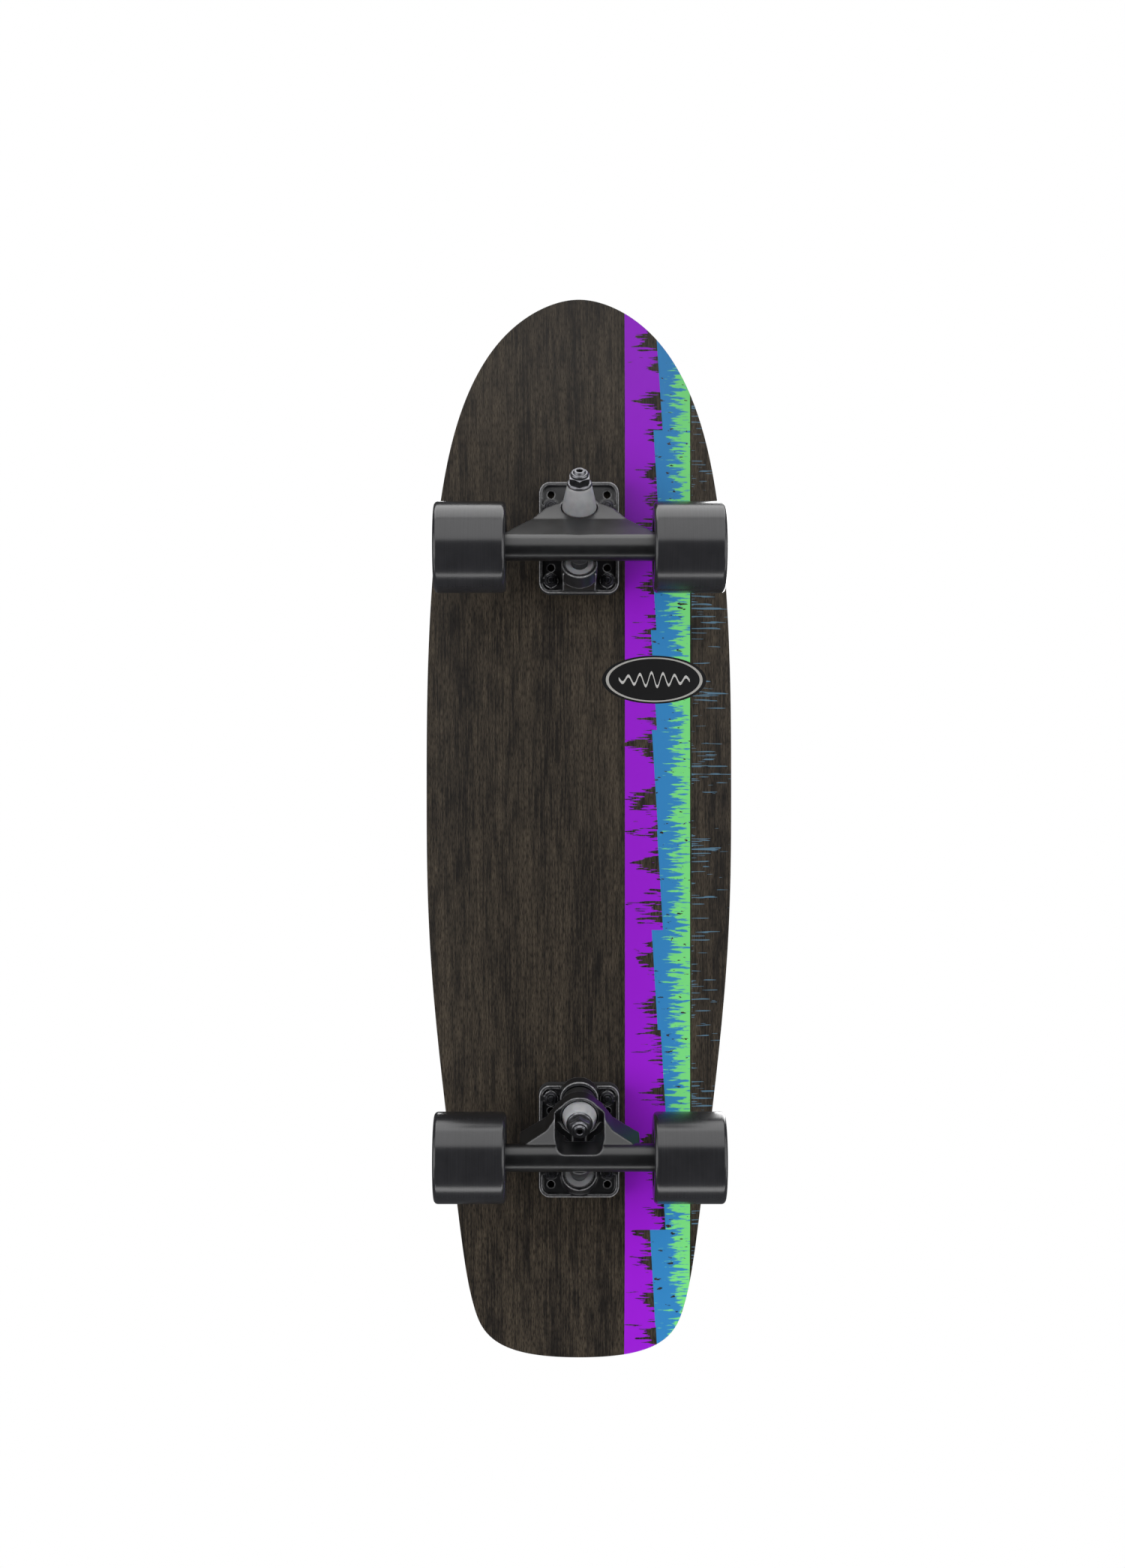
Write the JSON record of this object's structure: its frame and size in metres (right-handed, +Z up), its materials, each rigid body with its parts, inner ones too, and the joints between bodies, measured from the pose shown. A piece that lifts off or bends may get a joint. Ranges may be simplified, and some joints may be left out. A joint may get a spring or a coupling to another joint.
{
  "type": "skateboard",
  "caption": "Wide rounded-nose skateboard with concave plywood deck, kicked tail, steering trucks with urethane bushings, and large soft wheels on ball bearings.",
  "frame": {"origin": "on the ground under the middle of the deck's length and width, with the board standing on its wheels", "axes": "+X to the rider's left, +Y from the nose towards the tail, +Z up"},
  "size_m": [0.2264, 0.79, 0.1284],
  "materials": {
    "stained_maple": "stained seven-ply maple, satin lacquer",
    "grip": "black abrasive grip sheet",
    "black_steel": "black-coated screws, lock nuts and cup washers",
    "riser_rubber": "moulded rubber pad",
    "black_cast_aluminium": "satin black coated casting",
    "bushing_urethane": "light grey cast urethane",
    "barrel_urethane": "black cast urethane",
    "plated_steel": "zinc-plated turned steel",
    "bearing_steel": "ground bearing steel",
    "shield_steel": "pressed steel shield",
    "wheel_urethane": "dark charcoal cast urethane, semi-gloss",
    "core_plastic": "moulded black core",
    "cage_nylon": "moulded cage"
  },
  "bodies": {
    "board": {"deck": "stained_maple", "grip_tape": "grip", "mount_bolts": "black_steel", "mount_nuts": "black_steel", "front_riser_pad": "riser_rubber", "front_baseplate": "black_cast_aluminium", "front_pivot_cup": "bushing_urethane", "front_kingpin": "plated_steel", "front_board_washer": "black_steel", "front_board_bushing": "barrel_urethane", "front_road_bushing": "bushing_urethane", "front_road_washer": "plated_steel", "front_kingpin_nut": "plated_steel", "rear_riser_pad": "riser_rubber", "rear_baseplate": "black_cast_aluminium", "rear_pivot_cup": "bushing_urethane", "rear_kingpin": "plated_steel", "rear_board_washer": "black_steel", "rear_board_bushing": "barrel_urethane", "rear_road_bushing": "bushing_urethane", "rear_road_washer": "plated_steel", "rear_kingpin_nut": "plated_steel"},
    "front_truck_hanger": {"front_hanger": "black_cast_aluminium", "front_axle": "plated_steel", "front_speed_rings": "plated_steel", "front_bearing_spacers": "plated_steel", "front_inner_races": "bearing_steel", "front_axle_nuts": "plated_steel"},
    "front_left_wheel": {"front_left_tyre": "wheel_urethane", "front_left_core": "core_plastic", "front_left_outer_races": "bearing_steel", "front_left_bearing_shields": "shield_steel"},
    "front_left_ball_set": {"front_left_ball_cages": "cage_nylon", "front_left_bearing_balls": "bearing_steel"},
    "front_right_wheel": {"front_right_tyre": "wheel_urethane", "front_right_core": "core_plastic", "front_right_outer_races": "bearing_steel", "front_right_bearing_shields": "shield_steel"},
    "front_right_ball_set": {"front_right_ball_cages": "cage_nylon", "front_right_bearing_balls": "bearing_steel"},
    "rear_truck_hanger": {"rear_hanger": "black_cast_aluminium", "rear_axle": "plated_steel", "rear_speed_rings": "plated_steel", "rear_bearing_spacers": "plated_steel", "rear_inner_races": "bearing_steel", "rear_axle_nuts": "plated_steel"},
    "rear_left_wheel": {"rear_left_tyre": "wheel_urethane", "rear_left_core": "core_plastic", "rear_left_outer_races": "bearing_steel", "rear_left_bearing_shields": "shield_steel"},
    "rear_left_ball_set": {"rear_left_ball_cages": "cage_nylon", "rear_left_bearing_balls": "bearing_steel"},
    "rear_right_wheel": {"rear_right_tyre": "wheel_urethane", "rear_right_core": "core_plastic", "rear_right_outer_races": "bearing_steel", "rear_right_bearing_shields": "shield_steel"},
    "rear_right_ball_set": {"rear_right_ball_cages": "cage_nylon", "rear_right_bearing_balls": "bearing_steel"}
  },
  "joints": [
    {"name": "front_steer", "type": "hinge", "parent": "board", "child": "front_truck_hanger", "pos_m": [0, -0.1925, 0.047], "axis": [0, -0.8991, 0.4377], "range_deg": [-20, 20], "stiffness_Nm_per_rad": 60, "deforming": ["front_board_bushing", "front_road_bushing", "front_pivot_cup"]},
    {"name": "front_left_wheel_spin", "type": "hinge", "parent": "front_truck_hanger", "child": "front_left_wheel", "pos_m": [0.078, -0.2026, 0.0325], "axis": [1, 0, 0], "continuous": true},
    {"name": "front_left_ball_spin", "type": "hinge", "parent": "front_truck_hanger", "child": "front_left_ball_set", "pos_m": [0.078, -0.2026, 0.0325], "axis": [1, 0, 0], "continuous": true},
    {"name": "front_right_wheel_spin", "type": "hinge", "parent": "front_truck_hanger", "child": "front_right_wheel", "pos_m": [-0.078, -0.2026, 0.0325], "axis": [1, 0, 0], "continuous": true},
    {"name": "front_right_ball_spin", "type": "hinge", "parent": "front_truck_hanger", "child": "front_right_ball_set", "pos_m": [-0.078, -0.2026, 0.0325], "axis": [1, 0, 0], "continuous": true},
    {"name": "rear_steer", "type": "hinge", "parent": "board", "child": "rear_truck_hanger", "pos_m": [0, 0.2498, 0.0745], "axis": [0, 0.9251, 0.3796], "range_deg": [-15, 15], "stiffness_Nm_per_rad": 60, "deforming": ["rear_board_bushing", "rear_road_bushing", "rear_pivot_cup"]},
    {"name": "rear_left_wheel_spin", "type": "hinge", "parent": "rear_truck_hanger", "child": "rear_left_wheel", "pos_m": [0.078, 0.2318, 0.0325], "axis": [1, 0, 0], "continuous": true},
    {"name": "rear_left_ball_spin", "type": "hinge", "parent": "rear_truck_hanger", "child": "rear_left_ball_set", "pos_m": [0.078, 0.2318, 0.0325], "axis": [1, 0, 0], "continuous": true},
    {"name": "rear_right_wheel_spin", "type": "hinge", "parent": "rear_truck_hanger", "child": "rear_right_wheel", "pos_m": [-0.078, 0.2318, 0.0325], "axis": [1, 0, 0], "continuous": true},
    {"name": "rear_right_ball_spin", "type": "hinge", "parent": "rear_truck_hanger", "child": "rear_right_ball_set", "pos_m": [-0.078, 0.2318, 0.0325], "axis": [1, 0, 0], "continuous": true}
  ],
  "couplings": [
    {"joint": "front_left_ball_spin", "follows": "front_left_wheel_spin", "ratio": 0.632},
    {"joint": "front_right_ball_spin", "follows": "front_right_wheel_spin", "ratio": 0.632},
    {"joint": "rear_left_ball_spin", "follows": "rear_left_wheel_spin", "ratio": 0.632},
    {"joint": "rear_right_ball_spin", "follows": "rear_right_wheel_spin", "ratio": 0.632}
  ]
}
